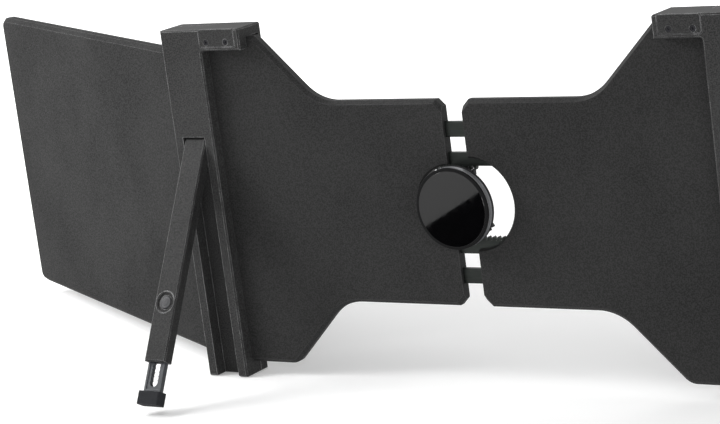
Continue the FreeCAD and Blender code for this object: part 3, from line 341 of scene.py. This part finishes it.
# Hub: a cap with a turned satin band stands on a round black base and covers the
# pinion, and a polished black disc is glued inside its lip. The pinion is moulded in
# black acetal.
def clear_gloss(name, dark, light, haze, sleek, dull, ripple, ripple_strength, ripple_mm, ior=1.5):
    """A polished face; haze and ripple are each a noise scale and its detail."""
    material, tree, shader = new_material(name)
    smear = noise_node(tree, object_place(tree), *haze)
    tree.links.new(colour_mix(tree, smear, screen_colour(*dark), screen_colour(*light)),
                   shader.inputs["Base Color"])
    tree.links.new(ramp_node(tree, smear, 0.3, 0.75, sleek, dull), shader.inputs["Roughness"])
    shader.inputs["IOR"].default_value = ior
    bump(tree, shader, noise_node(tree, object_place(tree), *ripple), ripple_strength, ripple_mm)
    return material


def pick_faces(thing, wanted):
    """Edit the piece with only those faces selected that a test picks out."""
    pick_only(thing)
    bpy.ops.object.mode_set(mode="EDIT")
    bpy.ops.mesh.select_mode(type="FACE")
    bpy.ops.mesh.select_all(action="DESELECT")
    bpy.ops.object.mode_set(mode="OBJECT")
    for face in thing.data.polygons:
        face.select = wanted(face)
    bpy.ops.object.mode_set(mode="EDIT")


def turned_solid(name, profile, sides=128):
    """A round solid built up along Y from its back; each step is a radius and a height in mm."""
    bpy.ops.object.select_all(action="DESELECT")
    radius, height = profile[0]
    bpy.ops.mesh.primitive_circle_add(vertices=sides, radius=radius * MM, fill_type="NGON",
                                      location=(0, height * MM, 0), rotation=(math.pi / 2, 0, 0))
    thing = bpy.context.object
    thing.name = name
    bpy.ops.object.transform_apply(location=True, rotation=True, scale=True)
    bpy.ops.object.mode_set(mode="EDIT")
    bpy.ops.mesh.select_all(action="SELECT")
    for wide, high in profile[1:]:
        bpy.ops.mesh.extrude_region_move(TRANSFORM_OT_translate={"value": (0, (high - height) * MM, 0)})
        ratio = wide / radius
        bpy.ops.transform.resize(value=(ratio, 1, ratio), center_override=(0, high * MM, 0))
        radius, height = wide, high
    bpy.ops.mesh.select_all(action="SELECT")
    bpy.ops.mesh.normals_make_consistent(inside=False)
    bpy.ops.object.mode_set(mode="OBJECT")
    finish_mesh(thing, 0, 1)
    return thing


hub_black = moulded_plastic("hub plastic", dark=(30, 30, 31), light=(42, 42, 43), wear_and_highlight=(74, 74, 76),
                            pit_mm=0.5, roughness=0.5)
cap_satin = brushed_metal("satin cap", dark=(112, 113, 116), light=(146, 147, 150),
                          stretch=(900.0, 6000.0, 900.0), roughness=0.4, metallic=0.5)
gear_black = moulded_plastic("acetal gear", dark=(26, 26, 27), light=(38, 38, 39), wear_and_highlight=(58, 58, 60),
                             pit_mm=0.4, roughness=0.4)
screw_black = brushed_metal("blacked screw", dark=(34, 34, 36), light=(52, 52, 55),
                            stretch=(3000.0, 3000.0, 3000.0), roughness=0.35)
rim_black = moulded_plastic("rim plastic", dark=(8, 8, 9), light=(18, 18, 19), wear_and_highlight=(26, 26, 27),
                            pit_mm=0.5, roughness=0.45, depth_mm=0.01, wear_and_highlight_amount=0.3, specular=0.1)
face_gloss = clear_gloss("polished disc", dark=(4, 4, 5), light=(9, 9, 10), haze=(220.0, 4.0, 0.6),
                         sleek=0.015, dull=0.05, ripple=(40.0, 1.0), ripple_strength=0.05,
                         ripple_mm=0.02, ior=1.45)

base_ease = 0.2
fine_ease = 0.1
for node_name, ease_mm, slot, material in (
        ("hub_base", base_ease, "hub_plastic", hub_black), ("hub_pad", fine_ease, "soft_pad", felt_black),
        ("hub_screw", fine_ease, "black_screw", screw_black)):
    piece = dressed_copy(node_name, ease_mm, 2, "hub")
    wear_material(piece, material)

cap_round = 23.3
band_low = 14.0
band_top = 17.2
neck_round = 22.7
seat_round = 21.3
seat_top = 18.1
skirt = dressed_copy("hub_cap", 0, 1, "hub")
pick_faces(skirt, lambda face: True)
bpy.ops.mesh.bisect(plane_co=(0, band_low * MM, 0), plane_no=(0, 1, 0), use_fill=True, clear_outer=True)
bpy.ops.object.mode_set(mode="OBJECT")
wear_material(skirt, hub_black)

band = turned_solid("cap_band", (
    (cap_round - 0.7, band_low - 0.1), (cap_round - 0.5, band_low), (cap_round - 0.5, band_low + 0.2),
    (cap_round - 0.1, band_low + 0.3), (cap_round, band_low + 0.5), (cap_round, band_top - 0.4),
    (cap_round - 0.2, band_top - 0.1), (neck_round, band_top), (neck_round, band_top + 0.3),
    (seat_round, band_top + 0.3), (seat_round, seat_top)))
wear_material(band, cap_satin)

lip_low = 17.3
lip_top = 18.95
lip_inside = 21.42
lip = turned_solid("cap_lip", (
    (neck_round + 0.05, lip_low), (cap_round - 0.2, lip_low + 0.1), (cap_round, lip_low + 0.4),
    (cap_round, lip_top - 0.45), (cap_round - 0.15, lip_top - 0.15), (cap_round - 0.5, lip_top),
    (lip_inside + 0.08, lip_top), (lip_inside, lip_top - 0.1), (lip_inside, lip_top - 0.65)))
wear_material(lip, rim_black)

disc_round = 21.4
face_top = 19.0
disc_edge = 0.07
disc = turned_solid("hub_disc", (
    (disc_round - 0.1, seat_top), (disc_round, seat_top + 0.1), (disc_round, face_top - disc_edge),
    (disc_round - disc_edge, face_top), (disc_round - 0.6, face_top)))
wear_material(disc, face_gloss)
for piece, slot, node_name in ((band, "hub_metal", "hub_cap"), (lip, "hub_plastic", "hub_cap"),
                               (disc, "hub_gloss", "hub_face")):
    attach(piece, "hub")
    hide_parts(node_name)
gear = dressed_copy("pinion", fine_ease, 1, "pinion")
wear_material(gear, gear_black)


# Columns: tall mouldings in two halves, screwed together along a seam. The back half
# carries the hook arm, and the front half the hinge lugs.
# the light edge colour here is mostly a painted highlight, a bright line along the eased edges, with some
# rubbed wear
column_black = moulded_plastic("column plastic", dark=(36, 36, 36), light=(68, 68, 68),
                               wear_and_highlight=(165, 165, 166), pit_mm=0.8, roughness=0.6, wear_and_highlight_amount=0.9)
column_ease = 0.35
for side in SIDES:
    for word in ("_column_shell", "_column_cover"):
        half = dressed_copy(side + word, column_ease, 2, side + "_carriage")
        wear_material(half, column_black)


# Hook trim: a flat cover screwed over each hook arm with two small socket screws, a
# rubber strip under the ledge, and the screws that hold the plate's tongue.
trim_ease = 0.2
for side in SIDES:
    carriage = side + "_carriage"
    cover = dressed_copy(side + "_hook_cover", trim_ease, 2, carriage)
    wear_material(cover, column_black)
    for word, ease_mm, slot, material in (
            ("_hook_screws", fine_ease, "black_screw", screw_black),
            ("_hook_pad", trim_ease, "soft_pad", felt_black),
            ("_plate_screws", fine_ease, "black_screw", screw_black)):
        piece = dressed_copy(side + word, ease_mm, 1, carriage)
        wear_material(piece, material)


# Legs: a moulded blade on a steel pin, a slotted metal foot bar that slides in it, a
# rubber foot block pressed on the bar, and a round lock button in a raised ring. The
# right leg stands open, and the left one is folded away.
# the light edge colour here is mostly a painted highlight, a bright line along the eased edges, with some
# rubbed wear
leg_black = moulded_plastic("leg plastic", dark=(30, 30, 30), light=(58, 58, 58), wear_and_highlight=(180, 180, 181),
                            pit_mm=0.8, roughness=0.58, wear_and_highlight_amount=1.0)
button_black = moulded_plastic("button plastic", dark=(66, 66, 68), light=(86, 86, 88),
                               wear_and_highlight=(140, 140, 142), pit_mm=0.5, roughness=0.42)
foot_grey = brushed_metal("foot bar metal", dark=(38, 41, 44), light=(54, 57, 61),
                          stretch=(2500.0, 2500.0, 80.0), roughness=0.45, metallic=0.25)
foot_rubber = moulded_plastic("foot rubber", dark=(38, 39, 41), light=(50, 51, 54), wear_and_highlight=(66, 67, 70),
                              pit_mm=0.45, roughness=0.85, depth_mm=0.08)
pin_bright = brushed_metal("pin steel", dark=(130, 130, 132), light=(160, 160, 162),
                           stretch=(60.0, 4000.0, 4000.0), roughness=0.3)
leg_ease = 0.25
foot_bar_ease = 0.12
foot_block_ease = 0.3
lock_place = 97.5
leg_open = {"right": 30.0, "left": 0.0}
stem_round = 1.2
stem_low = -1.15
button_round = 3.85
button_low = 2.35
button_shoulder = 3.8
button_top = 3.95
groove_floor = 3.6
button_profile = (
    (stem_round, stem_low), (stem_round, button_low), (button_round - 0.15, button_low),
    (button_round, button_low + 0.15), (button_round, groove_floor - 0.2),
    (button_round - 0.15, groove_floor + 0.05), (3.3, button_shoulder), (2.95, button_shoulder),
    (2.85, groove_floor), (2.65, groove_floor), (2.5, button_shoulder), (1.9, button_top - 0.03),
    (0.8, button_top))
for side in SIDES:
    pin = dressed_copy(side + "_leg_pin", fine_ease, 1, side + "_carriage")
    wear_material(pin, pin_bright)
    for word, ease_mm, body, slot, material in (
            ("_leg_shell", leg_ease, "_leg", "leg_plastic", leg_black),
            ("_foot_bar", foot_bar_ease, "_foot", "foot_metal", foot_grey),
            ("_foot_block", foot_block_ease, "_foot", "foot_rubber", foot_rubber)):
        piece = dressed_copy(side + word, ease_mm, 2, side + body)
        wear_material(piece, material)

    pin_low, pin_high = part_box(side + "_leg_pin")
    pivot = Matrix.Translation((pin_low + pin_high) / 2)
    swing = Matrix.Rotation(math.radians(leg_open[side]), 4, "X")
    hang = Matrix.Translation((0, 0, -lock_place * MM))
    button = turned_solid(side + "_button", button_profile, sides=64)
    button.data.transform(pivot @ swing @ hang)
    wear_material(button, button_black)
    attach(button, side + "_lock")
    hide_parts(side + "_lock_button")


# Screens: a shallow moulded tray closed by a thin bezel over the glass of the display,
# with steel hinge leaves, three metal sockets and two keys on its lower edge. The glass
# has a black printed border round its active area.
screen_black = moulded_plastic("screen back plastic", dark=(26, 26, 26), light=(61, 61, 61),
                               wear_and_highlight=(120, 120, 121), pit_mm=0.9, roughness=0.75, wear_and_highlight_amount=0.7, specular=0.05)
bezel_black = moulded_plastic("bezel plastic", dark=(22, 22, 23), light=(32, 32, 33), wear_and_highlight=(60, 60, 62),
                              pit_mm=0.4, roughness=0.45)
board_green = moulded_plastic("driver board", dark=(18, 52, 34), light=(28, 70, 46), wear_and_highlight=(60, 90, 70),
                              pit_mm=0.5, roughness=0.5)
border_black = clear_gloss("display glass", dark=(10, 11, 13), light=(16, 17, 20), haze=(30.0, 4.0, 0.6),
                           sleek=0.12, dull=0.22, ripple=(4000.0, 2.0), ripple_strength=0.2,
                           ripple_mm=0.005)
active_dark = clear_gloss("active area", dark=(24, 26, 31), light=(31, 33, 39), haze=(12.0, 3.0, 0.5),
                          sleek=0.3, dull=0.36, ripple=(9000.0, 1.0), ripple_strength=0.15,
                          ripple_mm=0.004)
border_wide = 3.2
border_step = 0.15
border_deep = 0.1
tray_ease = 0.3
bezel_ease = 0.2
key_ease = 0.15
leaf_ease = 0.12
least_glass = 0.02
for side in SIDES:
    screen = side + "_screen"
    panel = dressed_copy(side + "_display_panel", fine_ease, 1, screen)
    wear_material(panel, border_black)
    panel.data.materials.append(active_dark)
    pick_faces(panel, lambda face: face.area > least_glass and face.normal.y < 0)
    bpy.ops.mesh.inset(thickness=border_wide * MM, depth=0)
    bpy.ops.mesh.inset(thickness=border_step * MM, depth=-border_deep * MM)
    panel.active_material_index = 1
    bpy.ops.object.material_slot_assign()
    bpy.ops.object.mode_set(mode="OBJECT")
    finish_mesh(panel, 0, 1)
    for word, ease_mm, body, slot, material in (
            ("_screen_back", tray_ease, screen, "screen_plastic", screen_black),
            ("_screen_bezel", bezel_ease, screen, "bezel_plastic", bezel_black),
            ("_driver_board", fine_ease, screen, "board", board_green),
            ("_screen_ports", fine_ease, screen, "port_metal", pin_bright),
            ("_power_key", key_ease, side + "_power", "button_plastic", button_black),
            ("_menu_key", key_ease, side + "_menu", "button_plastic", button_black),
            ("_hinge_leaves", leaf_ease, screen, "hinge_metal", bar_black),
            ("_hinge_pins", fine_ease, side + "_carriage", "pin_steel", pin_bright)):
        piece = dressed_copy(side + word, ease_mm, 1, body)
        wear_material(piece, material)


# Floor: a wide pale sheet just under the columns, which whitens away from the object
# and shows as pale in metal and gloss as it does to the eye.
def pale_sight(tree):
    """1 for what is seen, mirrored or looked at through glass, and 0 for the light that falls."""
    sight = tree.nodes.new("ShaderNodeLightPath")
    seen = math_node(tree, "MAXIMUM", sight.outputs["Is Camera Ray"], sight.outputs["Is Glossy Ray"])
    return math_node(tree, "MAXIMUM", seen, sight.outputs["Is Transmission Ray"])


floor_gap = 0.4
floor_wide = 14.0
floor_z = cad_box[0].z - floor_gap * MM
bpy.ops.object.select_all(action="DESELECT")
bpy.ops.mesh.primitive_plane_add(size=floor_wide, location=(0, 0, floor_z))
floor = bpy.context.object
floor.name = "floor"
bpy.ops.object.transform_apply(location=True, rotation=True, scale=True)
floor_pale, tree, shader = new_material("pale floor")
wash = noise_node(tree, object_place(tree), 3.0)
tree.links.new(colour_mix(tree, wash, (0.89, 0.89, 0.89, 1.0), (0.91, 0.91, 0.91, 1.0)),
               shader.inputs["Base Color"])
shader.inputs["Roughness"].default_value = 0.9
shader.inputs["Emission Color"].default_value = (1.0, 1.0, 1.0, 1.0)
glow_near = 0.3
glow_far = 1.5
least_glow = 0.2
away = tree.nodes.new("ShaderNodeVectorMath")
away.operation = "LENGTH"
tree.links.new(object_place(tree), away.inputs[0])
glow = ramp_node(tree, away.outputs["Value"], glow_near, glow_far, low_out=least_glow)
tree.links.new(math_node(tree, "MULTIPLY", pale_sight(tree), glow), shader.inputs["Emission Strength"])
wear_material(floor, floor_pale)


# Dark card: it lies on the floor behind the object, out of sight, and gives the
# polished disc its slanting dark half.
card_lift = 2.0
card_corners = ((120, 250), (235.5, 250), (281.3, 530), (120, 530))
corner_order = (0, 1, 3, 2)
bpy.ops.object.select_all(action="DESELECT")
bpy.ops.mesh.primitive_plane_add(size=0.1, location=(0, 0, 0))
card = bpy.context.object
card.name = "dark card"
for index, (across, back) in zip(corner_order, card_corners):
    card.data.vertices[index].co = (across * MM, back * MM, floor_z + card_lift * MM)
card_black, tree, shader = new_material("dark card")
shader.inputs["Base Color"].default_value = (0.0, 0.0, 0.0, 1.0)
shader.inputs["Specular IOR Level"].default_value = 0.0
wear_material(card, card_black)
card.visible_camera = False
card.visible_diffuse = False
card.visible_shadow = False
card.visible_transmission = False


# Light: a white room that is dim where it lights and white where it is seen, and soft
# lamps round the object. The edge light stands low, to catch the edges, which carry wear and a painted
# highlight.
room_light = 0.3
world = bpy.data.worlds.new("studio")
bpy.context.scene.world = world
world.use_nodes = True
tree = world.node_tree
sky = tree.nodes["Background"]
sky.inputs["Color"].default_value = (1.0, 1.0, 1.0, 1.0)
tree.links.new(ramp_node(tree, pale_sight(tree), 0.0, 1.0, low_out=room_light), sky.inputs["Strength"])


def soft_lamp(name, place, aim, wide, tall, watts):
    lamp = bpy.data.lights.new(name, "AREA")
    lamp.shape = "RECTANGLE"
    lamp.size = wide
    lamp.size_y = tall
    lamp.energy = watts
    holder = bpy.data.objects.new(name, lamp)
    bpy.context.scene.collection.objects.link(holder)
    holder.location = place
    holder.rotation_euler = (Vector(aim) - Vector(place)).to_track_quat("-Z", "Y").to_euler()
    holder.visible_camera = False


soft_lamp("key", place=(1.7, 0.75, 1.0), aim=(0.1, 0.0, 0.0), wide=0.7, tall=0.7, watts=18.0)
soft_lamp("near key", place=(0.62, 0.22, 0.42), aim=(0.3, -0.05, 0.0), wide=0.25, tall=0.25, watts=1.4)
soft_lamp("near sheen", place=(0.78, -0.06, 0.56), aim=(0.4, -0.1, 0.08), wide=0.3, tall=0.3, watts=3.0)
soft_lamp("overhead", place=(0.0, 0.6, 2.4), aim=(0.0, 0.0, 0.0), wide=1.8, tall=1.8, watts=10.0)
soft_lamp("fill", place=(-1.9, 2.5, 1.0), aim=(0.0, 0.0, 0.0), wide=1.0, tall=1.0, watts=16.0)
soft_lamp("edge light", place=(-1.35, 0.85, 0.1), aim=(0.0, 0.0, 0.0), wide=0.2, tall=0.7, watts=4.0)
soft_lamp("front fill", place=(0.2, -2.4, 1.6), aim=(0.0, 0.0, 0.0), wide=2.0, tall=1.4, watts=12.0)


# Camera: a long lens a little above the object, on the hub side and turned to it.
camera_place = (-0.79907, 1.23515, 0.31613)
camera_turn = (77.8344, 7.4199, -146.3083)
lens = bpy.data.cameras.new("camera")
lens.lens = 135.0
lens.sensor_width = 36.0
camera = bpy.data.objects.new("camera", lens)
bpy.context.scene.collection.objects.link(camera)
camera.location = camera_place
camera.rotation_euler = Euler([math.radians(turn) for turn in camera_turn], "XYZ")
bpy.context.scene.camera = camera
bpy.context.scene.view_settings.view_transform = "Standard"
